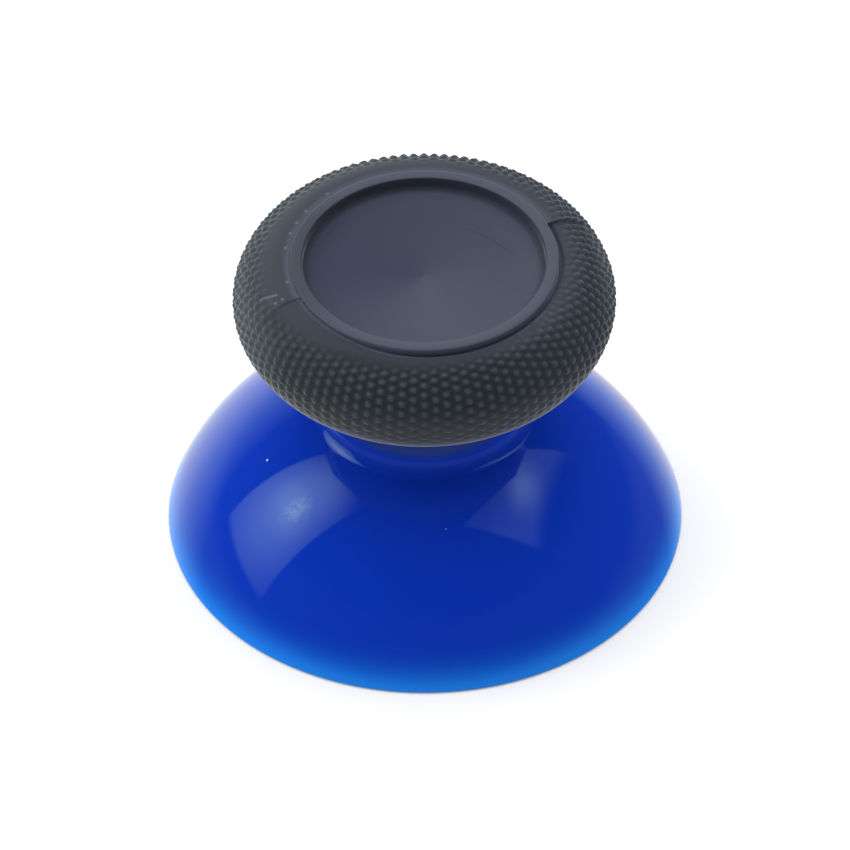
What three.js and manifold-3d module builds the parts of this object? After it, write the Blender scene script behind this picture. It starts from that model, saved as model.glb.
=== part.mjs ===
// Thumb grip of a game controller's analogue stick, in millimetres.
// A gloss dome with its neck and stick socket is moulded first. A softer textured cap is then moulded
// round the flange on top of the neck and grows through the flange's holes, so the two never come apart.
// +Z runs up the stick's axis, and the origin is on that axis in the plane of the dome's rim.

import * as THREE from 'three';
import { mergeVertices } from 'three/addons/utils/BufferGeometryUtils.js';
import Module from 'manifold-3d';

// Dome, a slice of a hollow ball round the point that the stick tilts about
const rimRadius = 13.75;
const pivotDrop = 5.57;
const domeWall = 1.2;
const rimRound = 0.12;

// Neck between the dome and the cap
const neckRadius = 5.5;
const neckFillet = 1.0;
const neckHeight = 3.35;

// Flange on top of the neck, inside the cap, with the holes that lock the cap on
const flangeReach = 2.6;
const flangeThickness = 1.8;
const flangeCover = 1.1;
const flangeRound = 0.3;
const lockHoleCount = 6;
const lockHoleRadius = 0.85;

// Socket post under the dome, for a stick shaft with two flats
const postRadius = 3.3;
const postRise = 1.4;
const shaftDiameter = 4.0;
const shaftAcrossFlats = 2.9;
const shaftClearance = 0.025;
const socketDepth = 5.8;
const socketLeadIn = 0.3;

// Gussets that brace the post against the dome's ceiling
const gussetCount = 4;
const gussetThickness = 0.8;
const gussetReach = 1.7;
const gussetDrop = 3.6;

// Cap: the dish, the smooth ring round it and the textured band
const dishRadius = 6.36;
const dishWall = 0.7;
const dishFall = 0.42;
const dishFloorRound = 0.25;
const ringWidth = 0.66;
const ringEdge = 0.08;
const ringShoulder = 0.1;
const bandWidth = 3.07;
const bandInset = 0.25;
const capHeight = 5.62;
const bandStep = 0.1;

// Pips in staggered columns on the band, lying in rows half a pitch apart
const pipSpacing = 0.61;
const pipPitch = 0.505;
const pipHeight = 0.14;
const textureTop = 80;
const textureFullTop = 50;
const textureFullFoot = 12;
const textureFoot = -40;

// Front half of the band, which the mould left lower beside the ring between its two parting lines,
// with a narrow groove along the ring that grows from the left line and ends at the right one
const partingAzimuth = 24;
const frontSink = 0.14;
const frontSinkGrowth = 40;
const grooveDepth = 0.2;
const grooveFloor = 0.12;
const grooveWidth = 0.36;
const grooveStart = 20;
const grooveFull = 70;

// Room between the two mouldings, so that their faces don't touch
const bondGap = 0.05;

// Facets
const roundSides = 60;
const holeSides = 12;
const domeSteps = 8;
const filletSteps = 5;
const edgeSteps = 3;
const footSteps = 3;

// Sizes that follow from the ones above
const domeRadius = rimRound + Math.hypot(rimRadius - rimRound, pivotDrop + rimRound);
const innerRadius = domeRadius - domeWall;
const crown = domeRadius - pivotDrop;
const capUnderside = crown + neckHeight;
const ringRadius = dishRadius + ringWidth;
const capRadius = ringRadius + bandWidth;
const ringTop = capUnderside + capHeight;
const flangeUnderside = capUnderside + flangeCover;
const flangeTop = flangeUnderside + flangeThickness;
const flangeRadius = neckRadius + flangeReach;
const lockCircle = neckRadius + flangeReach / 2;
const bandCentreRadius = ringRadius + bandInset;
const bandHalfHeight = (capHeight - bandStep) / 2;
const bandHalfWidth = capRadius - pipHeight - bandCentreRadius;
const bandCentre = capUnderside + bandHalfHeight;
const socketRadius = shaftDiameter / 2 + shaftClearance;
const socketHalfFlat = shaftAcrossFlats / 2 + shaftClearance;
const bandColumns = 2 * Math.round(Math.PI * capRadius / pipSpacing);

const radians = THREE.MathUtils.degToRad;
const degrees = THREE.MathUtils.radToDeg;

const wasm = await Module();
wasm.setup();

// A closed solid from a geometry, with the vertices that its faces share merged
function solid(geometry) {
  geometry.deleteAttribute('normal');
  geometry.deleteAttribute('uv');
  const merged = mergeVertices(geometry, 1e-5);
  const corners = [];
  const index = merged.index.array;
  for (let i = 0; i < index.length; i += 3) {
    const [a, b, c] = index.slice(i, i + 3);
    if (a !== b && b !== c && c !== a) {
      corners.push(a, b, c);
    }
  }
  const mesh = new wasm.Mesh({
    numProp: 3,
    vertProperties: new Float32Array(merged.attributes.position.array),
    triVerts: new Uint32Array(corners),
  });
  return new wasm.Manifold(mesh);
}

// The named mesh of a finished solid, in its own material
function namedMesh(name, body, material) {
  const { vertProperties, triVerts } = body.getMesh();
  const geometry = new THREE.BufferGeometry();
  geometry.setAttribute('position', new THREE.BufferAttribute(vertProperties, 3));
  geometry.setIndex(new THREE.BufferAttribute(triVerts, 1));
  geometry.computeVertexNormals();
  const mesh = new THREE.Mesh(geometry, material);
  mesh.name = name;
  return mesh;
}

// Points of an arc in the section plane, its angles in degrees from the outward direction
function arc(centreR, centreZ, radius, from, to, steps) {
  const points = [];
  for (let i = 0; i <= steps; i++) {
    const angle = radians(THREE.MathUtils.lerp(from, to, i / steps));
    points.push(new THREE.Vector2(centreR + radius * Math.cos(angle), centreZ + radius * Math.sin(angle)));
  }
  return points;
}

// A section turned round the stick's axis
function turned(points) {
  return new THREE.LatheGeometry(points, roundSides).rotateX(Math.PI / 2);
}

// Height of a ball round the tilting point, at a distance from the axis
function ballHeight(radius, distance) {
  return Math.sqrt(radius ** 2 - distance ** 2) - pivotDrop;
}

// Angle above the horizontal of a point on such a ball
function ballAngle(radius, distance) {
  return degrees(Math.acos(distance / radius));
}

// Section of the dome, neck and flange, from the post's foot to the top of the flange.
// Each edge of the rim is rounded by a circle that touches its ball and the rim's plane.
function baseSection() {
  const rimHeight = pivotDrop + rimRound;
  const innerEdgeR = Math.sqrt((innerRadius + rimRound) ** 2 - rimHeight ** 2);
  const innerEdgeAngle = ballAngle(innerRadius + rimRound, innerEdgeR);
  const outerEdgeR = rimRadius - rimRound;
  const outerEdgeAngle = ballAngle(domeRadius - rimRound, outerEdgeR);
  const filletR = neckRadius + neckFillet;
  const filletZ = ballHeight(domeRadius + neckFillet, filletR);
  const filletAngle = ballAngle(domeRadius + neckFillet, filletR);
  return [
    new THREE.Vector2(0, postRise),
    new THREE.Vector2(postRadius, postRise),
    ...arc(0, -pivotDrop, innerRadius, ballAngle(innerRadius, postRadius), innerEdgeAngle, domeSteps),
    ...arc(innerEdgeR, rimRound, rimRound, 180 + innerEdgeAngle, 270, edgeSteps).slice(1),
    ...arc(outerEdgeR, rimRound, rimRound, 270, 360 + outerEdgeAngle, edgeSteps),
    ...arc(0, -pivotDrop, domeRadius, outerEdgeAngle, filletAngle, domeSteps).slice(1),
    ...arc(filletR, filletZ, neckFillet, 180 + filletAngle, 180, filletSteps).slice(1),
    ...flangeSection(0),
  ];
}

// Section of the neck's top and its flange, grown outwards by a gap on every side
function flangeSection(gap) {
  const reach = flangeRadius + gap;
  const round = flangeRound + gap;
  return [
    new THREE.Vector2(neckRadius + gap, flangeUnderside - gap),
    new THREE.Vector2(reach, flangeUnderside - gap),
    ...arc(reach - round, flangeTop + gap - round, round, 0, 90, edgeSteps),
    new THREE.Vector2(0, flangeTop + gap),
  ];
}

// Round bars through the flange where its lock holes are
function lockBars(radius) {
  const length = flangeThickness + 2 * flangeCover;
  const bars = [];
  for (let i = 0; i < lockHoleCount; i++) {
    const bar = new THREE.CylinderGeometry(radius, radius, length, holeSides).rotateX(Math.PI / 2);
    bar.translate(lockCircle, 0, flangeUnderside + flangeThickness / 2);
    bar.rotateZ(2 * Math.PI * i / lockHoleCount);
    bars.push(solid(bar));
  }
  return wasm.Manifold.union(bars);
}

// Outline of the stick shaft's hole: a circle with two flats
function socketOutline() {
  const corner = Math.asin(socketHalfFlat / socketRadius);
  const outline = new THREE.Shape();
  outline.absarc(0, 0, socketRadius, -corner, corner, false);
  outline.absarc(0, 0, socketRadius, Math.PI - corner, Math.PI + corner, false);
  outline.closePath();
  return outline;
}

// Cutter for the socket, with a lead-in at its mouth
function socketCutter() {
  const past = 1;
  const bore = new THREE.ExtrudeGeometry(socketOutline(), {
    depth: socketDepth + past,
    bevelEnabled: false,
    curveSegments: 8,
  });
  bore.translate(0, 0, postRise - past);
  const mouth = new THREE.ExtrudeGeometry(socketOutline(), {
    depth: past,
    bevelThickness: socketLeadIn,
    bevelSize: socketLeadIn,
    bevelSegments: 1,
    curveSegments: 8,
  });
  mouth.translate(0, 0, postRise - past);
  return solid(bore).add(solid(mouth));
}

// Gussets between the post and the dome's ceiling, midway between the socket's two directions
function gussets() {
  const root = postRadius / 2;
  const foot = ballHeight(innerRadius, postRadius) - gussetDrop - gussetReach / 4;
  const tip = postRadius + gussetReach;
  const web = new THREE.Shape();
  web.moveTo(root, foot);
  web.lineTo(postRadius, foot);
  web.lineTo(tip, ballHeight(innerRadius, tip));
  web.lineTo(tip, ballHeight(innerRadius + domeWall / 2, tip));
  web.lineTo(root, ballHeight(innerRadius + domeWall / 2, root));
  web.closePath();
  const webs = [];
  for (let i = 0; i < gussetCount; i++) {
    const plate = new THREE.ExtrudeGeometry(web, { depth: gussetThickness, bevelEnabled: false });
    plate.translate(0, 0, -gussetThickness / 2);
    plate.rotateX(Math.PI / 2);
    plate.rotateZ(2 * Math.PI * (i + 0.5) / gussetCount);
    webs.push(solid(plate));
  }
  return wasm.Manifold.union(webs);
}

// The blue moulding
function domeBase() {
  const body = solid(turned(baseSection()));
  return body.subtract(lockBars(lockHoleRadius)).add(gussets()).subtract(socketCutter());
}

// One row of the cap's skin: its point, its outward direction, and the texture, sink and groove it takes
function skinRow(r, z, outR = 0, outZ = 0, texture = 0, sink = 0, groove = 0) {
  return { r, z, outR, outZ, texture, sink, groove };
}

// How strong the pips are at an angle round the band's section
function textureAt(angle) {
  const fromTop = THREE.MathUtils.smoothstep(-angle, -textureTop, -textureFullTop);
  const fromFoot = THREE.MathUtils.smoothstep(angle, textureFoot, textureFullFoot);
  return fromTop * fromFoot;
}

// The row at an angle round the band's section
function bandRow(angle) {
  const c = Math.cos(radians(angle));
  const s = Math.sin(radians(angle));
  const out = new THREE.Vector2(c / bandHalfWidth, s / bandHalfHeight).normalize();
  const r = bandCentreRadius + bandHalfWidth * c;
  const z = bandCentre + bandHalfHeight * s;
  const sink = frontSink * THREE.MathUtils.smoothstep(angle, 0, 90);
  const groove = grooveDepth * (1 - THREE.MathUtils.smoothstep(r - ringRadius, grooveFloor, grooveWidth));
  return skinRow(r, z, out.x, out.y, textureAt(angle), sink, angle > 0 ? groove : 0);
}

// Rows down the band, from beside the ring to the cap's underside, closer where there are pips
function bandRows() {
  const start = degrees(Math.acos(-bandInset / bandHalfWidth));
  const length = radians(start - textureFoot) * (bandHalfWidth + bandHalfHeight) / 2;
  const count = Math.round(length / (pipPitch / 2));
  const rows = [];
  for (let i = 0; i < count; i++) {
    rows.push(bandRow(THREE.MathUtils.lerp(start, textureFoot, i / count)));
  }
  for (let i = 0; i <= footSteps; i++) {
    rows.push(bandRow(THREE.MathUtils.lerp(textureFoot, -90, i / footSteps)));
  }
  return rows;
}

// Rows of the dish: its floor, a shallow cone, and the round that leads from the floor into the wall
function dishRows() {
  const centre = ringTop - dishWall - dishFall;
  const slope = Math.atan(dishFall / dishRadius);
  const roundR = dishRadius - dishFloorRound;
  const roundZ = centre + roundR * Math.tan(slope) + dishFloorRound / Math.cos(slope);
  const round = arc(roundR, roundZ, dishFloorRound, degrees(slope) - 90, 0, 2);
  const halfway = round[0].x / 2;
  return [
    skinRow(0, centre),
    skinRow(halfway, centre + halfway * Math.tan(slope)),
    ...round.map((point) => skinRow(point.x, point.y)),
  ];
}

// Rows of the whole skin, from the middle of the dish to the middle of the underside
function skinRows() {
  const shoulderMiddle = (1 - Math.SQRT1_2) * ringShoulder;
  const rows = dishRows();
  rows.push(skinRow(dishRadius, ringTop - ringEdge));
  rows.push(skinRow(dishRadius + ringEdge, ringTop));
  rows.push(skinRow(ringRadius - ringShoulder, ringTop));
  rows.push(skinRow(ringRadius - shoulderMiddle, ringTop - shoulderMiddle));
  rows.push(...bandRows());
  rows.push(skinRow(0, capUnderside));
  return rows;
}

// Shares of the sink and groove at an azimuth: none behind, growing from the left parting line
function frontShares(azimuth) {
  const fromLeft = THREE.MathUtils.euclideanModulo(degrees(azimuth) - partingAzimuth - 180, 360);
  if (fromLeft > 180) {
    return { sunk: 0, grooved: 0 };
  }
  const growth = THREE.MathUtils.smoothstep(fromLeft, 0, frontSinkGrowth);
  return { sunk: (1 + growth) / 2, grooved: THREE.MathUtils.smoothstep(fromLeft, grooveStart, grooveFull) };
}

// The cap's outer skin, a closed grid of rows and columns whose alternate points are raised into pips
function capSkin() {
  const rows = skinRows();
  const last = rows.length - 1;
  const positions = [];
  for (let row = 0; row <= last; row++) {
    const { r, z, outR, outZ, texture, sink, groove } = rows[row];
    for (let column = 0; column < bandColumns; column++) {
      const azimuth = 2 * Math.PI * column / bandColumns;
      const raised = (row + column) % 2 === 0 ? pipHeight * texture : 0;
      const reach = r + outR * raised;
      const { sunk, grooved } = frontShares(azimuth);
      const height = z + outZ * raised - sink * sunk - groove * grooved;
      positions.push(reach * Math.cos(azimuth), reach * Math.sin(azimuth), height);
    }
  }
  const corners = [];
  for (let row = 0; row < last; row++) {
    for (let column = 0; column < bandColumns; column++) {
      const next = (column + 1) % bandColumns;
      const a = row * bandColumns + column;
      const b = a + bandColumns;
      const c = (row + 1) * bandColumns + next;
      const d = row * bandColumns + next;
      if ((row + column) % 2 === 0) {
        corners.push(a, b, d, b, c, d);
      } else {
        corners.push(a, b, c, a, c, d);
      }
    }
  }
  const geometry = new THREE.BufferGeometry();
  geometry.setAttribute('position', new THREE.Float32BufferAttribute(positions, 3));
  geometry.setIndex(corners);
  return geometry;
}

// The space that the neck and its flange take up inside the cap
function flangeRoom() {
  const past = 1;
  const section = [
    new THREE.Vector2(0, capUnderside - past),
    new THREE.Vector2(neckRadius + bondGap, capUnderside - past),
    ...flangeSection(bondGap),
  ];
  return solid(turned(section)).subtract(lockBars(lockHoleRadius - bondGap));
}

// The textured cap
function gripCap() {
  return solid(capSkin()).subtract(flangeRoom());
}

const blueGloss = new THREE.MeshStandardMaterial({ color: 0x0a32a3, roughness: 0.12, metalness: 0 });
const greySatin = new THREE.MeshStandardMaterial({ color: 0x4a505c, roughness: 0.6, metalness: 0 });

const group = new THREE.Group();
group.add(namedMesh('dome_base', domeBase(), blueGloss));
group.add(namedMesh('grip_cap', gripCap(), greySatin));

export default group;
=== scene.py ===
from functools import lru_cache
from math import acos, atan2, cos, degrees, floor, hypot, pi, radians, sin, sqrt, tan

import bmesh
import bpy
from mathutils import Matrix, Vector


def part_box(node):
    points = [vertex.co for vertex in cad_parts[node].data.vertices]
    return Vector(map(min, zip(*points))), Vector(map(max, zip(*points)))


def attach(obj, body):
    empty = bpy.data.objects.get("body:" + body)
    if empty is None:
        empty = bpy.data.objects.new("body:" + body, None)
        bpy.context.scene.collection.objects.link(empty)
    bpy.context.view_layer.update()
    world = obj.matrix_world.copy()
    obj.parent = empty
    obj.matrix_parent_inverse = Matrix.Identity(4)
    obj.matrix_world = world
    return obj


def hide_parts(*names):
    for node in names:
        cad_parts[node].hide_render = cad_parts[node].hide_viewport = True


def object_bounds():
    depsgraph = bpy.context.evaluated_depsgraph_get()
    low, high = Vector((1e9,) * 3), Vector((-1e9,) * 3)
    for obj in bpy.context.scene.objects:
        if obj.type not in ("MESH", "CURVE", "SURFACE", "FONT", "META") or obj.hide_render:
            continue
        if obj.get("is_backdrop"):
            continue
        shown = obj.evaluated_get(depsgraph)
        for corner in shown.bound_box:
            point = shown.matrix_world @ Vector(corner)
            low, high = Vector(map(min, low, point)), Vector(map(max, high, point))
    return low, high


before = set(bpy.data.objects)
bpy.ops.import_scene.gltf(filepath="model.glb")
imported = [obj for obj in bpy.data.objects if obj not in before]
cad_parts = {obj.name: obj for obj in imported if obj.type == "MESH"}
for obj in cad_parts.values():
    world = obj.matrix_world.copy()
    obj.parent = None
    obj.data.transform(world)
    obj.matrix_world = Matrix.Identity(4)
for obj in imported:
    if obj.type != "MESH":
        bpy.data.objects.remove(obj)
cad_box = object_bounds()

# Dome base
# The first moulding of the grip, in gloss blue plastic: a hollow dome, the neck on top of it with the
# flange that holds the cap, and the post under it whose socket takes the stick. All one piece.

MM = 0.001
base_low, base_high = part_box("dome_base")
cap_low, cap_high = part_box("grip_cap")

rim_radius = base_high.x
rim_round = 0.12 * MM
pivot_drop = 5.57 * MM
dome_wall = 1.2 * MM
dome_radius = rim_round + hypot(rim_radius - rim_round, pivot_drop + rim_round)
inner_radius = dome_radius - dome_wall

neck_radius = 5.5 * MM
neck_fillet = 1.0 * MM
flange_reach = 2.6 * MM
flange_thickness = 1.8 * MM
flange_cover = 1.1 * MM
flange_round = 0.3 * MM
flange_radius = neck_radius + flange_reach
flange_underside = cap_low.z + flange_cover
flange_top = base_high.z
lock_hole_count = 6
lock_hole_radius = 0.85 * MM
lock_circle = neck_radius + flange_reach / 2
lock_bar_length = flange_thickness + 1 * MM

post_radius = 3.3 * MM
post_rise = 1.4 * MM
post_edge = 0.15 * MM
socket_radius = 2.025 * MM
socket_half_flat = 1.475 * MM
socket_depth = 5.8 * MM
socket_lead_in = 0.3 * MM
gusset_count = 4
gusset_thickness = 0.8 * MM
gusset_reach = 1.7 * MM
gusset_drop = 4.025 * MM
gusset_root = 0.5 * MM

dome_columns = 192
sectors = 24
crease = radians(34)
merge_distance = 1e-8
rounding_error = 1e-7


def line_on(bm, start, r, z):
    """Draws the section on from a vertex to a point, and gives the new end."""
    made = bmesh.ops.extrude_vert_indiv(bm, verts=[start])
    made["verts"][0].co = (r, 0, z)
    return made["verts"][0]


def arc_on(bm, start, centre, turn, steps):
    """Carries the section on round a centre by degrees, upwards where they are positive."""
    made = bmesh.ops.spin(
        bm,
        geom=[start],
        cent=(centre[0], 0, centre[1]),
        axis=(0, -1, 0),
        angle=radians(turn),
        steps=steps,
    )
    return made["geom_last"][0]


def lift(radius, distance):
    """Angle above the horizontal of a point on a ball, from its distance to the ball's axis."""
    return degrees(acos(distance / radius))


def ball_height(radius, distance):
    """Height of a ball round the stick's tilting point, at a distance from the axis."""
    return sqrt(radius**2 - distance**2) - pivot_drop


def turn_section(bm, columns):
    """Turns the section that the bmesh holds once round the stick's axis: a sector, then its copies."""
    sector = 2 * pi / sectors
    round_axis = {"cent": (0, 0, 0), "axis": (0, 0, 1)}
    line = bm.verts[:] + bm.edges[:]
    bmesh.ops.spin(bm, geom=line, angle=sector, steps=columns // sectors, **round_axis)
    wedge = bm.verts[:] + bm.edges[:] + bm.faces[:]
    turn = 2 * pi - sector
    bmesh.ops.spin(bm, geom=wedge, angle=turn, steps=sectors - 1, use_duplicate=True, **round_axis)
    bmesh.ops.remove_doubles(bm, verts=bm.verts[:], dist=merge_distance)
    bmesh.ops.recalc_face_normals(bm, faces=bm.faces[:])


def piece_of(bm, name):
    """Makes the object of a finished bmesh, smooth apart from its creases."""
    for face in bm.faces:
        face.smooth = True
    for edge in bm.edges:
        edge.smooth = edge.calc_face_angle(0) < crease
    mesh = bpy.data.meshes.new(name)
    bm.to_mesh(mesh)
    bm.free()
    piece = bpy.data.objects.new(name, mesh)
    bpy.context.scene.collection.objects.link(piece)
    return piece


def combine(piece, tool, operation):
    """Cuts a tool out of a piece or joins it on, and removes the tool."""
    cut = piece.modifiers.new(operation.lower(), "BOOLEAN")
    cut.operation = operation
    cut.object = tool
    cut.solver = "EXACT"
    graph = bpy.context.evaluated_depsgraph_get()
    finished = bpy.data.meshes.new_from_object(piece.evaluated_get(graph))
    piece.modifiers.clear()
    piece.data = finished
    bpy.data.objects.remove(tool)


def flange_from(bm, start, gap):
    """Draws the flange's section from the neck to the axis, grown by a gap, and gives the end."""
    reach = flange_radius + gap
    rounding = flange_round + gap
    end = line_on(bm, start, neck_radius + gap, flange_underside - gap)
    end = line_on(bm, end, reach, flange_underside - gap)
    end = line_on(bm, end, reach, flange_top + gap - rounding)
    end = arc_on(bm, end, (reach - rounding, flange_top + gap - rounding), 90, 6)
    return line_on(bm, end, 0, flange_top + gap)


def add_lock_bars(bm, radius, length):
    """Adds the round bars that stand where the flange's lock holes are."""
    for index in range(lock_hole_count):
        angle = 2 * pi * index / lock_hole_count
        middle = flange_underside + flange_thickness / 2
        place = Matrix.Translation((lock_circle * cos(angle), lock_circle * sin(angle), middle))
        bmesh.ops.create_cone(
            bm,
            cap_ends=True,
            segments=32,
            radius1=radius,
            radius2=radius,
            depth=length,
            matrix=place,
        )


def gusset_plates():
    """The four thin webs between the post and the dome's ceiling."""
    root = post_radius - gusset_root
    tip = post_radius + gusset_reach
    middle = inner_radius + dome_wall / 2
    foot = ball_height(inner_radius, post_radius) - gusset_drop
    bm = bmesh.new()
    for index in range(gusset_count):
        start = bm.verts.new((root, -gusset_thickness / 2, foot))
        outline = [start]
        outline.append(line_on(bm, outline[-1], post_radius, foot))
        outline.append(line_on(bm, outline[-1], tip, ball_height(inner_radius, tip)))
        outline.append(line_on(bm, outline[-1], tip, ball_height(middle, tip)))
        outline.append(line_on(bm, outline[-1], root, ball_height(middle, root)))
        for vert in outline:
            vert.co.y = -gusset_thickness / 2
        web = bmesh.ops.contextual_create(bm, geom=outline)["faces"]
        thick = bmesh.ops.extrude_face_region(bm, geom=web)["geom"]
        raised = [part for part in thick if isinstance(part, bmesh.types.BMVert)]
        bmesh.ops.translate(bm, verts=raised, vec=(0, gusset_thickness, 0))
        turn = Matrix.Rotation(2 * pi * (index + 0.5) / gusset_count, 3, "Z")
        bmesh.ops.rotate(bm, verts=outline + raised, cent=(0, 0, 0), matrix=turn)
    bmesh.ops.recalc_face_normals(bm, faces=bm.faces[:])
    return piece_of(bm, "gusset_plates")


def dome_section(bm):
    """Draws the section from the socket's end, round the dome and up the neck to the flange's top."""
    mouth = post_rise + socket_lead_in
    end = bm.verts.new((0, 0, post_rise + socket_depth))
    end = line_on(bm, end, socket_radius, post_rise + socket_depth)
    end = line_on(bm, end, socket_radius, mouth)
    end = line_on(bm, end, socket_radius + socket_lead_in, post_rise)
    end = line_on(bm, end, post_radius - post_edge, post_rise)
    end = arc_on(bm, end, (post_radius - post_edge, post_rise + post_edge), 90, 4)
    end = line_on(bm, end, post_radius, ball_height(inner_radius, post_radius))

    rim_height = pivot_drop + rim_round
    inner_edge = sqrt((inner_radius + rim_round) ** 2 - rim_height**2)
    inner_lift = lift(inner_radius + rim_round, inner_edge)
    ceiling_turn = inner_lift - lift(inner_radius, post_radius)
    end = arc_on(bm, end, (0, -pivot_drop), ceiling_turn, 20)
    end = arc_on(bm, end, (inner_edge, rim_round), 90 - inner_lift, 5)

    outer_edge = rim_radius - rim_round
    outer_lift = lift(dome_radius - rim_round, outer_edge)
    end = line_on(bm, end, outer_edge, 0)
    end = arc_on(bm, end, (outer_edge, rim_round), 90 + outer_lift, 6)

    fillet_r = neck_radius + neck_fillet
    fillet_z = ball_height(dome_radius + neck_fillet, fillet_r)
    fillet_lift = lift(dome_radius + neck_fillet, fillet_r)
    end = arc_on(bm, end, (0, -pivot_drop), fillet_lift - outer_lift, 36)
    end = arc_on(bm, end, (fillet_r, fillet_z), -fillet_lift, 14)
    flange_from(bm, end, 0)


def cut_flats(bm):
    """Brings the socket's round wall and lead-in in to its two flats."""
    for vert in bm.verts:
        if hypot(vert.co.x, vert.co.y) > socket_radius + socket_lead_in + rounding_error:
            continue
        if post_rise - rounding_error < vert.co.z < post_rise + socket_depth + rounding_error:
            lead = 1 - min((vert.co.z - post_rise) / socket_lead_in, 1)
            flat = socket_half_flat + lead * socket_lead_in
            vert.co.y = max(-flat, min(flat, vert.co.y))


bm = bmesh.new()
dome_section(bm)
turn_section(bm, dome_columns)
cut_flats(bm)
dome = piece_of(bm, "blue_dome")
bm = bmesh.new()
add_lock_bars(bm, lock_hole_radius, lock_bar_length)
combine(dome, piece_of(bm, "lock_bars"), "DIFFERENCE")
combine(dome, gusset_plates(), "UNION")


class Wire:
    """A shader node's output, which Python's signs can add to, multiply and so on."""

    def __init__(self, tree, socket=None):
        self.tree = tree
        self.socket = socket

    def lay(self, kind, values=(), output=0, **settings):
        """Lays a node: its settings first, then its sockets' values or links. Gives one output."""
        node = self.tree.nodes.new(kind)
        for name, setting in settings.items():
            setattr(node, name, setting)
        sockets = values.items() if isinstance(values, dict) else enumerate(values)
        for key, value in sockets:
            if isinstance(value, Wire):
                self.tree.links.new(value.socket, node.inputs[key])
            else:
                node.inputs[key].default_value = value
        if node.outputs:
            return Wire(self.tree, node.outputs[output])

    def part(self, name):
        """Another output of the same node."""
        return Wire(self.tree, self.socket.node.outputs[name])

    def maths(self, operation, *others):
        """A Math node on this output, and on others where the operation takes them."""
        return self.lay("ShaderNodeMath", (self, *others), operation=operation)

    def maths_after(self, operation, first):
        """A Math node on another value first, and then on this output."""
        return self.lay("ShaderNodeMath", (first, self), operation=operation)

    def __add__(self, other):
        return self.maths("ADD", other)

    def __radd__(self, other):
        return self.maths_after("ADD", other)

    def __sub__(self, other):
        return self.maths("SUBTRACT", other)

    def __rsub__(self, other):
        return self.maths_after("SUBTRACT", other)

    def __mul__(self, other):
        return self.maths("MULTIPLY", other)

    def __rmul__(self, other):
        return self.maths_after("MULTIPLY", other)

    def __truediv__(self, other):
        return self.maths("DIVIDE", other)

    def __pow__(self, other):
        return self.maths("POWER", other)


def linear(red, green, blue):
    """A colour as the eye names it, 0 to 255, as the shader's own values."""
    shares = [c / 255 for c in (red, green, blue)]
    return [c / 12.92 if c <= 0.04045 else ((c + 0.055) / 1.055) ** 2.4 for c in shares] + [1]


def ease(wire, low, high):
    """0 below low, 1 above high, smooth between. It falls where low is above high."""
    values = {"Value": wire, "From Min": low, "From Max": high}
    return wire.lay("ShaderNodeMapRange", values, interpolation_type="SMOOTHSTEP")


def blend_colour(share, first, second):
    """The first colour where the share is 0, the second where it is 1."""
    factor, colour_a, colour_b = 0, 6, 7
    values = {factor: share, colour_a: first, colour_b: second}
    return share.lay("ShaderNodeMix", values, output=2, data_type="RGBA")


def speckle(place, scale, detail=2.0, roughness=0.5):
    """Noise from 0 to 1 on an object's own coordinates, its scale in lumps to the metre."""
    values = {"Vector": place, "Scale": scale, "Detail": detail, "Roughness": roughness}
    return place.lay("ShaderNodeTexNoise", values)


def away_from(place, point):
    """Distance of the shaded point from a point of the piece."""
    return place.lay("ShaderNodeVectorMath", [place, point], output="Value", operation="DISTANCE")


def along_way(place, way):
    """How far the shaded point lies along a direction."""
    return place.lay("ShaderNodeVectorMath", [place, way], output="Value", operation="DOT_PRODUCT")


def empty_nodes(owner):
    """Clears the nodes of a material or of the world. The first new ones are laid from what it gives."""
    owner.use_nodes = True
    owner.node_tree.nodes.clear()
    return Wire(owner.node_tree)


def start_material(name):
    """A new material, with its shader node and the piece's own coordinates."""
    material = bpy.data.materials.new(name)
    start = empty_nodes(material)
    place = start.lay("ShaderNodeTexCoord", output="Object")
    plastic = start.lay("ShaderNodeBsdfPrincipled")
    start.lay("ShaderNodeOutputMaterial", [plastic])
    return material, plastic.socket.node, place


def feed(plastic, **wires):
    """Links wires to the shader's sockets, whose names have an underscore for a space."""
    for name, wire in wires.items():
        wire.tree.links.new(wire.socket, plastic.inputs[name.replace("_", " ").title()])


def rub_star(place):
    """A rub mark on the dome's left: pale rays round a middle, with a few dark gaps, 0 to 1."""
    middle = Vector((-6.75, -6.19, 6.165)) * MM
    half_length = 1.25 * MM
    half_width = 0.75 * MM
    ray_count = 9
    ray_twist = 3
    outward = (middle + Vector((0, 0, pivot_drop))).normalized()
    long_way = Vector((0.83, 0.2, 0.55)).normalized()
    short_way = outward.cross(long_way).normalized()
    centred = place.lay("ShaderNodeVectorMath", [place, middle], operation="SUBTRACT")
    a = along_way(centred, long_way) / half_length
    b = along_way(centred, short_way) / half_width
    out = (a * a + b * b) ** 0.5
    rays = (b.maths("ARCTAN2", a) * ray_count + out * ray_twist).maths("COSINE")
    grain = speckle(place, 2600, 4, 0.6)
    near = ease(out + rays * 0.12 + (grain - 0.5) * 1.2, 1.1, 0.0)
    return near * ease(grain + rays * 0.05, 0.34, 0.56)


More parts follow.
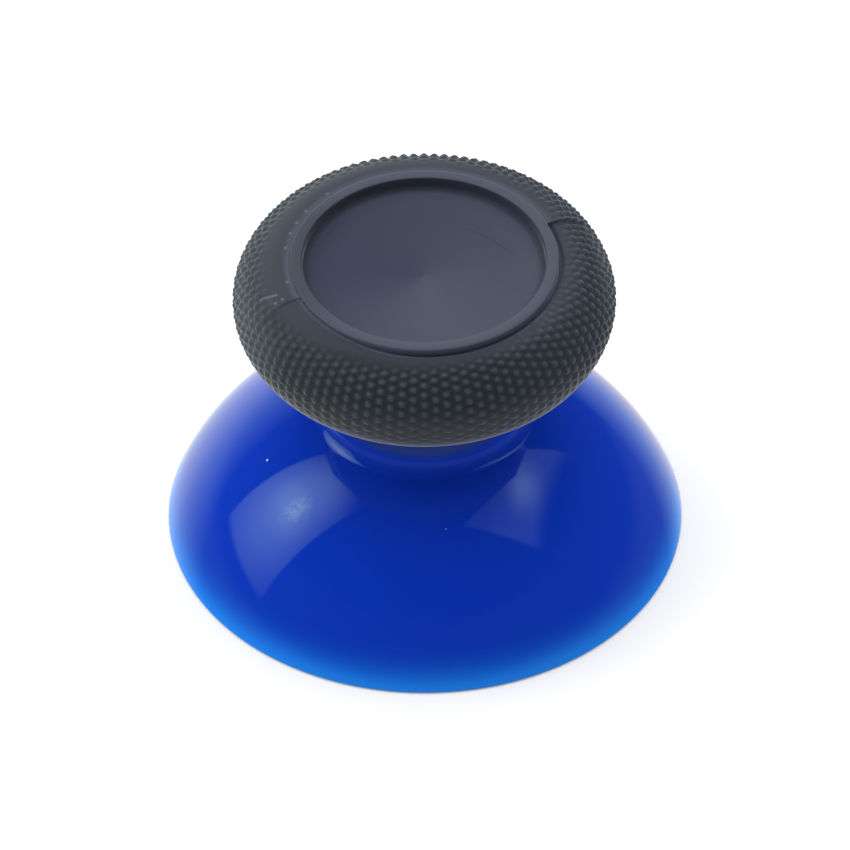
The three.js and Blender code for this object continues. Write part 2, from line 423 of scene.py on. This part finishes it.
def blue_gloss():
    """Deep blue plastic with a moulded gloss; painted light near the rim where light comes through it,
    painted shade on the neck and a painted dark line under the rim.
    """
    body = linear(10, 55, 190)
    neck_shade = linear(32, 54, 140)
    painted_rim_glow = linear(28, 141, 255)
    edge = linear(12, 48, 105)
    rubbed = linear(150, 172, 205)
    pale_mark = linear(190, 205, 235)
    glow_height = 1.0 * MM
    glow_fall = 1.75
    star_strength = 0.32
    large_speck = Vector((-8.34, -2.71, 6.46)) * MM
    small_speck = Vector((1.09, -8.3, 6.74)) * MM
    material, plastic, place = start_material("dome_plastic")
    height = place.lay("ShaderNodeSeparateXYZ", [place], output="Z")
    fade = (height / glow_height).maths("MAXIMUM", 0) ** glow_fall
    rim_glow_share = (fade * -1).maths("EXPONENT")
    # Painted shade: the neck is darker where the cap above shades it.
    thick = blend_colour(ease(height, 8.9 * MM, 9.6 * MM), body, neck_shade)
    # Painted light: a paler blue glow near the rim, where light comes through the plastic.
    colour = blend_colour(rim_glow_share, thick, painted_rim_glow)
    # Painted shade: a thin dark line along the rim's underside, which faces down.
    rim_underside_shade = ease(height, 0.12 * MM, 0.04 * MM) * ease(height, 0.0, 0.02 * MM)
    colour = blend_colour(rim_underside_shade, colour, edge)
    colour = blend_colour(rub_star(place) * star_strength, colour, rubbed)
    for speck, reach, strength in ((large_speck, 0.09 * MM, 1.0), (small_speck, 0.05 * MM, 0.5)):
        near = ease(away_from(place, speck), reach, reach / 2) * strength
        colour = blend_colour(near, colour, pale_mark)
    cloud = speckle(place, 260, 3)
    scuff = ease(speckle(place, 900, 6, 0.7), 0.56, 0.74)
    feed(plastic, base_color=colour, roughness=0.02 + cloud * 0.025 + scuff * 0.035)
    ripple = speckle(place, 420, 2)
    bump = {"Strength": 0.18, "Distance": 0.02 * MM, "Height": ripple}
    feed(plastic, normal=place.lay("ShaderNodeBump", bump))
    plastic.inputs["IOR"].default_value = 1.5
    return material


dome.data.materials.clear()
dome.data.materials.append(blue_gloss())
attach(dome, "root")
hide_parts("dome_base")

# Grip cap
# The second moulding, in dark grey rubbery plastic, moulded round the flange: a dished top with a
# smooth ring round it, and a thick band with rows of round pips. Two parting lines cross the band.

bond_gap = 0.05 * MM
dish_radius = 6.36 * MM
dish_wall = 0.7 * MM
dish_fall = 0.42 * MM
dish_floor_round = 0.25 * MM
ring_width = 0.66 * MM
ring_edge = 0.08 * MM
ring_shoulder = 0.1 * MM
ring_radius = dish_radius + ring_width
ring_top = cap_high.z
cap_radius = cap_high.x
band_inset = 0.25 * MM
band_step = 0.1 * MM
pip_height = 0.14 * MM
pip_spacing = 0.61 * MM
pip_pitch = 0.505 * MM
pip_radius = 0.27 * MM
pip_crown = 0.05 * MM
band_centre_r = ring_radius + band_inset
band_half_width = cap_radius - pip_height - band_centre_r
band_half_height = (cap_high.z - cap_low.z - band_step) / 2
band_centre_z = cap_low.z + band_half_height
band_columns = 2 * round(pi * cap_radius / pip_spacing)
facets_per_column = 6
facets_per_row = 4
dish_steps = 6
foot_steps = 8

texture_top_left = 72
texture_top_right = 88
texture_full_left = 42
texture_full_right = 70
texture_full_foot = 12
# The painted highlight on the pip tips starts this many degrees nearer the ring than the pips
tip_highlight_nearer = 6
texture_foot = -40
band_start = degrees(acos(-band_inset / band_half_width))
band_length = radians(band_start - texture_foot) * (band_half_width + band_half_height) / 2
band_rows = round(band_length / (pip_pitch / 2))
row_step = band_length / band_rows

parting_azimuth = 24
front_sink = 0.14 * MM
front_sink_growth = 40
groove_depth = 0.2 * MM
groove_floor = 0.12 * MM
groove_width = 0.36 * MM
groove_start = 20
groove_full = 70
skin_share = 0.98


def smooth(value, low, high):
    """0 below low, 1 above high, smooth between. It falls where low is above high."""
    share = max(0.0, min(1.0, (value - low) / (high - low)))
    return share * share * (3 - 2 * share)


def cap_section(bm):
    """Draws the section from the dish's middle over the ring and band to the room for the flange."""
    dish_centre = ring_top - dish_wall - dish_fall
    slope = atan2(dish_fall, dish_radius)
    round_r = dish_radius - dish_floor_round
    round_z = dish_centre + round_r * tan(slope) + dish_floor_round / cos(slope)
    floor_end = round_r + dish_floor_round * sin(slope)
    end = bm.verts.new((0, 0, dish_centre))
    for step in range(1, dish_steps + 1):
        out = floor_end * step / dish_steps
        end = line_on(bm, end, out, dish_centre + out * tan(slope))
    end = arc_on(bm, end, (round_r, round_z), 90 - degrees(slope), 6)
    end = line_on(bm, end, dish_radius, ring_top - ring_edge)
    end = arc_on(bm, end, (dish_radius + ring_edge, ring_top - ring_edge), -90, 3)
    end = line_on(bm, end, ring_radius - ring_shoulder, ring_top)
    end = arc_on(bm, end, (ring_radius - ring_shoulder, ring_top - ring_shoulder), -75, 4)

    end = line_on(bm, end, *band_point(band_start))
    for index in range(1, band_rows * facets_per_row + 1):
        share = index / (band_rows * facets_per_row)
        end = line_on(bm, end, *band_point(band_start + (texture_foot - band_start) * share))
    for index in range(1, foot_steps + 1):
        end = line_on(bm, end, *band_point(texture_foot + (-90 - texture_foot) * index / foot_steps))
    end = line_on(bm, end, neck_radius + bond_gap, cap_low.z)
    flange_from(bm, end, bond_gap)


def band_point(angle):
    """A point of the band's half-elliptic section, from its angle."""
    r = band_centre_r + band_half_width * cos(radians(angle))
    z = band_centre_z + band_half_height * sin(radians(angle))
    return r, z


def on_band(azimuth, angle):
    """A point of the turned band, from its azimuth and its angle round the section."""
    r, z = band_point(angle)
    return Matrix.Rotation(radians(azimuth), 3, "Z") @ Vector((r, 0, z))


def texture_at(angle, azimuth, nearer):
    """How strong the pips are at a place of the band. They start nearer the ring on the right."""
    right = 0.5 + 0.5 * cos(radians(azimuth))
    top = texture_top_left + (texture_top_right - texture_top_left) * right + nearer
    full = texture_full_left + (texture_full_right - texture_full_left) * right + nearer
    return smooth(angle, top, full) * smooth(angle, texture_foot, texture_full_foot)


@lru_cache(maxsize=None)
def pip_at(column, row):
    """Height share of the pips at a place counted in columns and rows, the same every 2 columns."""
    r = band_point(band_start + (texture_foot - band_start) * row / band_rows)[0]
    across = 2 * pi * r / band_columns
    nearest = 0
    for c in (floor(column), floor(column) + 1):
        for k in (floor(row), floor(row) + 1):
            if (c + k) % 2 == 0:
                away = hypot((column - c) * across, (row - k) * row_step)
                nearest = max(nearest, smooth(away, pip_radius, pip_crown))
    return nearest


def front_drop(angle, r, azimuth):
    """How far the band lies lower in front, with its groove, growing from the left parting line."""
    from_left = (azimuth - parting_azimuth - 180) % 360
    if from_left >= 180:
        return 0
    sunk = 0.5 + 0.5 * smooth(from_left, 0, front_sink_growth)
    grooved = smooth(from_left, groove_start, groove_full) if angle > 0 else 0
    groove = groove_depth * smooth(r - ring_radius, groove_width, groove_floor)
    return front_sink * smooth(angle, 0, 90) * sunk + groove * grooved


def raise_pips(bm):
    """Raises the pips on the turned band and lowers its front half. The dish, the ring and the room for
    the flange are left alone. The noted share, a painted highlight on the pip tips, starts a little
    nearer the ring."""
    tip_highlight_layer = bm.verts.layers.float.new("pip")
    for vert in bm.verts:
        r = hypot(vert.co.x, vert.co.y)
        if r < ring_radius - rounding_error or vert.co.z > ring_top - ring_edge - rounding_error:
            continue
        across = (r - band_centre_r) / band_half_width
        up = (vert.co.z - band_centre_z) / band_half_height
        if hypot(across, up) < skin_share:
            continue
        angle = degrees(atan2(up, across))
        azimuth = degrees(atan2(vert.co.y, vert.co.x))
        column = azimuth / 360 * band_columns
        row = (band_start - angle) / (band_start - texture_foot) * band_rows
        dot = pip_at(round(column % 2, 3), round(row, 3)) if row < band_rows else 0
        share = dot * texture_at(angle, azimuth, 0)
        out = Vector((across / band_half_width, up / band_half_height)).normalized()
        reach = (r + out.x * share * pip_height) / r
        sunk = front_drop(angle, r, azimuth)
        vert.co.x *= reach
        vert.co.y *= reach
        vert.co.z += out.y * share * pip_height - sunk
        # The share of painted highlight on the pip tips, noted for the material
        vert[tip_highlight_layer] = dot * texture_at(angle, azimuth, tip_highlight_nearer)


bm = bmesh.new()
cap_section(bm)
turn_section(bm, band_columns * facets_per_column)
raise_pips(bm)
add_lock_bars(bm, lock_hole_radius - bond_gap, lock_bar_length)
cap = piece_of(bm, "grey_cap")

ring_grey = linear(76, 81, 100)


def dish_paint(place, corner, out, turn):
    """The dish's greys: a painted reflection that fans from its middle, palest in front, with a rub mark
    and painted shade on the wall.
    """
    dark = linear(56, 62, 86)
    pale = linear(71, 75, 96)
    wall = linear(50, 54, 72)
    rub_middle = Vector((0.11 * MM, -1.56 * MM, ring_top - 0.9 * MM))
    rub_radius = 5.24 * MM
    # Painted reflection: greys that fan out from the dish's middle, darkest on the left and palest in
    # front.
    round_rear = turn.lay("ShaderNodeMapRange", {"Value": turn, "From Min": pi, "From Max": -1.45})
    round_front = ease(turn, -pi, -1.5)
    before = ease(turn, -1.62, -1.5)
    painted_reflection_fan = round_rear * before + round_front * (1 - before)
    # Painted light: the dish is also paler towards its back and right edge, against the wall's shade
    # there.
    painted_reflection_fan = painted_reflection_fan + 0.4 * ease(out, 4.2 * MM, 6.0 * MM) * ease(corner.part("Y") + corner * 0.6, 0, 4 * MM)
    grey = blend_colour(painted_reflection_fan, dark, pale)
    aside = away_from(place, rub_middle) - rub_radius
    rub = ease(aside.maths("ABSOLUTE"), 0.09 * MM, 0.02 * MM)
    rub = rub * ease(corner.part("Y"), 1.2 * MM, 1.7 * MM) * ease(corner, 1.5 * MM, 2.0 * MM)
    grey = blend_colour(rub * 0.5, grey, wall)
    # Painted shade: the wall round the dish is darker.
    return blend_colour(ease(out, 5.95 * MM, 6.3 * MM), grey, wall)


def band_paint(place, corner, out, turn, pips):
    """The band's greys: paler behind the parting lines; painted sheen at the sides, with some rubbed wear
    where they are held; painted shade between the pips, painted highlights on their tips and in streaks;
    painted light from the table low down.
    """
    rear_grey = linear(61, 63, 78)
    rear_valley_shade = linear(50, 53, 62)
    rubbed_side_and_sheen = linear(80, 83, 92)
    front_grey = linear(50, 56, 71)
    side_sheen_grey = linear(57, 61, 78)
    front_valley_shade = linear(38, 44, 55)
    side_valley_sheen_and_shade = linear(45, 49, 60)
    table_lit_grey = linear(62, 62, 66)
    tip_highlight = linear(64, 68, 80)
    parting = radians(parting_azimuth)
    behind = (corner.part("Y") * cos(parting) - corner * sin(parting)) / out
    aside = (corner / out).maths("ABSOLUTE")
    # Painted sheen: the band is paler towards its left and right sides.
    side_sheen = ease(aside, 0.35, 0.9)
    rear = blend_colour(ease(out, 7.1 * MM, 7.5 * MM), ring_grey, rear_grey)
    # Painted shade: the band is darker further out, between the pips.
    rear = blend_colour(ease(out, 8.4 * MM, 9.3 * MM), rear, rear_valley_shade)
    near = blend_colour(side_sheen, front_grey, side_sheen_grey)
    # Painted light: the groove by the ring takes the ring's paler grey against its shade.
    near = blend_colour(ease(out, 7.1 * MM, 7.3 * MM), ring_grey, near)
    # Painted shade between the pips further out, paler at the sides as painted sheen.
    far = blend_colour(side_sheen, front_valley_shade, side_valley_sheen_and_shade)
    fore = blend_colour(ease(out - side_sheen * (0.5 * MM), 7.5 * MM, 8.4 * MM), near, far)
    # Painted highlights: pale streaks along the pip columns on the front right.
    streak_highlight = ease((turn * band_columns).maths("COSINE"), 0.1, 0.9) * ease(speckle(place, 700), 0.35, 0.6)
    streak_highlight = streak_highlight * ease(turn, -1.35, -0.8) * ease(turn, 0.3, 0) * ease(out, 8.3 * MM, 7.6 * MM)
    fore = blend_colour(streak_highlight * 0.5, fore, ring_grey)
    valley = blend_colour(ease(behind, 0.012, -0.012), rear, fore)
    # Painted light: paler and warmer low down, where light from the table falls.
    valley = blend_colour(ease(corner.part("Z"), 16.7 * MM, 15.0 * MM), valley, table_lit_grey)
    # Partly rubbed wear where the sides are held, partly painted sheen at the sides.
    held_wear_and_sheen = ease(aside, 0.7, 0.97) * ease(behind, -0.75, -0.15) * ease(out, 8.6 * MM, 9.8 * MM)
    valley = blend_colour(held_wear_and_sheen, valley, rubbed_side_and_sheen)
    # Painted highlights on the pip tips
    return blend_colour(pips ** 1.6, valley, tip_highlight)


def grey_satin():
    """Dark grey rubbery plastic: a finely turned dish with a painted reflection fanning from its middle,
    a ring, and pips with painted highlights on their tips.
    """
    ring_left_shade = linear(66, 71, 87)
    pale_mark = linear(118, 121, 130)
    material, plastic, place = start_material("grip_rubber")
    corner = place.lay("ShaderNodeSeparateXYZ", [place])
    out = (corner * corner + corner.part("Y") * corner.part("Y")) ** 0.5
    turn = corner.part("Y").maths("ARCTAN2", corner)
    # The share of painted highlight on the pip tips
    pips = place.lay("ShaderNodeAttribute", output="Fac", attribute_name="pip")
    ring = ease(out, dish_radius + 0.02 * MM, dish_radius + 0.1 * MM)
    ring = ring * ease(corner.part("Z"), ring_top - 0.5 * MM, ring_top - 0.2 * MM)
    band = ease(out, ring_radius - 0.02 * MM, ring_radius + 0.1 * MM)
    # Painted shade: the ring is darker on its left.
    ring_paint = blend_colour(ease(corner / out, -0.6, -0.95), ring_grey, ring_left_shade)
    colour = blend_colour(ring, dish_paint(place, corner, out, turn), ring_paint)
    colour = blend_colour(band, colour, band_paint(place, corner, out, turn, pips))
    # Pale specks beside the ring, a pale scratch, and pale nicks at the left parting line
    beside_ring = [on_band(azimuth, 89) for azimuth in (134, 148, 156, 163, 172, 193)]
    scratch = [on_band(196.3 + step * 0.35, 54 + step * 3.5) for step in range(5)]
    nicks = [on_band(198, 71.5), on_band(201.5, 67), on_band(201.5, 76)]
    for mark in beside_ring + scratch + nicks:
        near = ease(away_from(place, mark), 0.15 * MM, 0.02 * MM) * 0.6
        colour = blend_colour(near, colour, pale_mark)
    grain = speckle(place, 5200, 4, 0.6)
    wall = ease(out, 5.8 * MM, 6.0 * MM) * (1 - ring) * (1 - band)
    gloss = 0.38 + band * 0.14 + ring * 0.04 + wall * 0.32 + grain * 0.08
    feed(plastic, base_color=colour, roughness=gloss)
    bump = {"Strength": 0.25, "Distance": 0.02 * MM, "Height": grain}
    feed(plastic, normal=place.lay("ShaderNodeBump", bump))
    plastic.inputs["IOR"].default_value = 1.5
    plastic.inputs["Sheen Weight"].default_value = 0.65
    plastic.inputs["Sheen Roughness"].default_value = 0.3
    return material


cap.data.materials.clear()
cap.data.materials.append(grey_satin())
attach(cap, "root")
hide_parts("grip_cap")

# Floor, surroundings and lights
# A white table under the grip, a white backdrop behind it and two soft boxes, one at each side.

table_radius = 3
table_drop = 0.01 * MM


def rays_in(start):
    """The kinds of ray, and 1 for a ray that the eye sends straight or through something clear."""
    seen = start.lay("ShaderNodeLightPath")
    return seen.part("Is Glossy Ray"), seen.maths("MAXIMUM", seen.part("Is Transmission Ray"))


bm = bmesh.new()
just_under = Matrix.Translation((0, 0, -table_drop))
bmesh.ops.create_circle(bm, cap_ends=True, segments=64, radius=table_radius, matrix=just_under)
table = piece_of(bm, "white_table")
table_material = bpy.data.materials.new("white_table")
start = empty_nodes(table_material)
mirrored, straight = rays_in(start)
white = start.lay("ShaderNodeBsdfDiffuse", {"Color": (0.9, 0.9, 0.9, 1)})
glow = start.lay("ShaderNodeEmission", {"Color": (1, 1, 1, 1), "Strength": straight * 0.2})
plain = start.lay("ShaderNodeAddShader", [white, glow])
open_table = start.lay("ShaderNodeBsdfTransparent")
whole = start.lay("ShaderNodeMixShader", [mirrored, plain, open_table])
start.lay("ShaderNodeOutputMaterial", [whole])
table_material.cycles.emission_sampling = "NONE"
table.data.materials.append(table_material)
table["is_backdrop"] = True

world = bpy.data.worlds.new("studio")
bpy.context.scene.world = world
start = empty_nodes(world)
mirrored, straight = rays_in(start)
sideways = start.lay("ShaderNodeSeparateXYZ", [start.lay("ShaderNodeTexCoord")])
along = sideways.part("Y")
up = sideways.part("Z")
side = sideways.maths("ABSOLUTE").maths("MAXIMUM", 0.02)
across = along / side
rise = up / side
on_left = ease(sideways, 0.02, -0.02)


def hot_spot(across_middle, across_reach, rise_middle, rise_reach):
    """Brightness of a soft box round its hottest place, falling smoothly to nothing."""
    a = (across - across_middle) / across_reach
    b = (rise - rise_middle) / rise_reach
    return ease((a * a + b * b) ** 0.5, 1, 0)


# The shape that the mirrored left soft box has, and its brightness over it
box_top = (1.8 - across * 1.3).maths("MAXIMUM", 1.6 - across * 0.5)
below_top = ease(rise - box_top, 0.03, -0.04)
left_box = ease(across + rise * 0.055, -0.285, -0.255) * ease(across - rise * 0.2, 0.33, 0.3)
left_box = left_box * ease(rise, 0.14, 0.2) * below_top
spread = ease((across - 0.1).maths("ABSOLUTE"), 0.66, 0.0)
evenly = 1.75 * ease(rise, -0.15, 0.7) * ease(rise, 2.3, 0.8) * spread
left_box = left_box * (evenly + 0.8 * hot_spot(0.07, 0.34, 0.77, 0.32))

# The same for the right soft box, which is dimmer and stands higher
right_box = ease(across + rise * 0.33, -0.15, -0.08) * ease(across, 0.65, 0.61)
right_box = right_box * ease(rise + across * across * 0.5, 0.8, 1.08) * below_top
evenly = 0.33 - 0.15 * ease(rise, 1.4, 2.3)
right_box = right_box * (evenly + 0.95 * hot_spot(0.12, 0.6, 1.3, 0.6) ** 2)
boxes = on_left * left_box + (1 - on_left) * right_box

# The white backdrop, which the dome's sides and back mirror low down, and a haze elsewhere
from_rear = sideways.maths("ARCTAN2", along)
height = up.maths("ARCSINE")
past = height + (from_rear + 0.2).maths("ABSOLUTE") + 0.06 * (1 - on_left)
sweep = past.lay("ShaderNodeMapRange", {"Value": past, "From Min": 0.98, "From Max": 0.14})
haze = 0.02 + 0.03 * ease(up, 0.6, 0.4) + 0.1 * ease(up, 0.12, -0.05)
reflection = boxes + sweep * 0.95 + haze

# The plain light from all round: a little more from behind, from the left and from above
ambient = 0.3 + 0.55 * ease(along, -0.5, 0.8) + 0.2 * ease(sideways, 0.3, -0.9)
ambient = ambient + 0.04 * ease(sideways, 0.2, 0.9) + 0.8 * ease(up + along * 0.35, 0.35, 1.05)
strength = straight + (1 - straight) * (mirrored * reflection + (1 - mirrored) * ambient)
box_tint = blend_colour(on_left, (1, 1.5, 1.8, 1), (1, 1.5, 1.2, 1))
sweep_tint = blend_colour(on_left, (1, 0.98, 0.86, 1), (1, 1.1, 0.95, 1))
tint = blend_colour(sweep * sweep, box_tint, sweep_tint)
cool = blend_colour(mirrored, (1, 1, 1, 1), tint)
background = start.lay("ShaderNodeBackground", {"Color": cool, "Strength": strength})
world.cycles.sampling_method = "NONE"
start.lay("ShaderNodeOutputWorld", [background])


def soft_box(name, middle, width, height, radiance):
    """A soft box that faces the grip. The surroundings mirror it already, so it only lights."""
    lamp = bpy.data.lights.new(name, "AREA")
    lamp.shape = "RECTANGLE"
    lamp.size = width
    lamp.size_y = height
    lamp.energy = radiance * pi * width * height
    box = bpy.data.objects.new(name, lamp)
    facing = Vector(middle).normalized()
    turn = facing.to_track_quat("Z", "Y").to_matrix().to_4x4()
    box.matrix_world = Matrix.Translation(middle) @ turn
    box.visible_glossy = False
    bpy.context.scene.collection.objects.link(box)


soft_box("left_soft_box", (-0.45, 0.0, 0.36), 0.38, 0.62, 1.1)
soft_box("right_soft_box", (0.40, 0.02, 0.48), 0.40, 0.30, 0.6)

# Camera
# The photograph's own view: a long lens from the front, looking down at the grip.

view_distance = 436.2 * MM
view_lift = radians(43.225)
view_roll = radians(-0.194)
view_target = Vector((0.011, 0, 6.417)) * MM
focal_pixels = 8217
photo_pixels = 850

back = Vector((0, -cos(view_lift), sin(view_lift)))
upright = Vector((0, sin(view_lift), cos(view_lift)))
right = Vector((1, 0, 0))
camera_x = cos(view_roll) * right + sin(view_roll) * upright
camera_y = -sin(view_roll) * right + cos(view_roll) * upright
lens = bpy.data.cameras.new("photo_camera")
lens.sensor_width = 36
lens.lens = focal_pixels / photo_pixels * lens.sensor_width
lens.clip_start = 0.01
camera = bpy.data.objects.new("photo_camera", lens)
turn = Matrix((camera_x, camera_y, back)).transposed().to_4x4()
camera.matrix_world = Matrix.Translation(view_target + view_distance * back) @ turn
bpy.context.scene.collection.objects.link(camera)
bpy.context.scene.camera = camera
bpy.context.scene.view_settings.view_transform = "Standard"

boxes = {"cad": cad_box, "visual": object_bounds()}
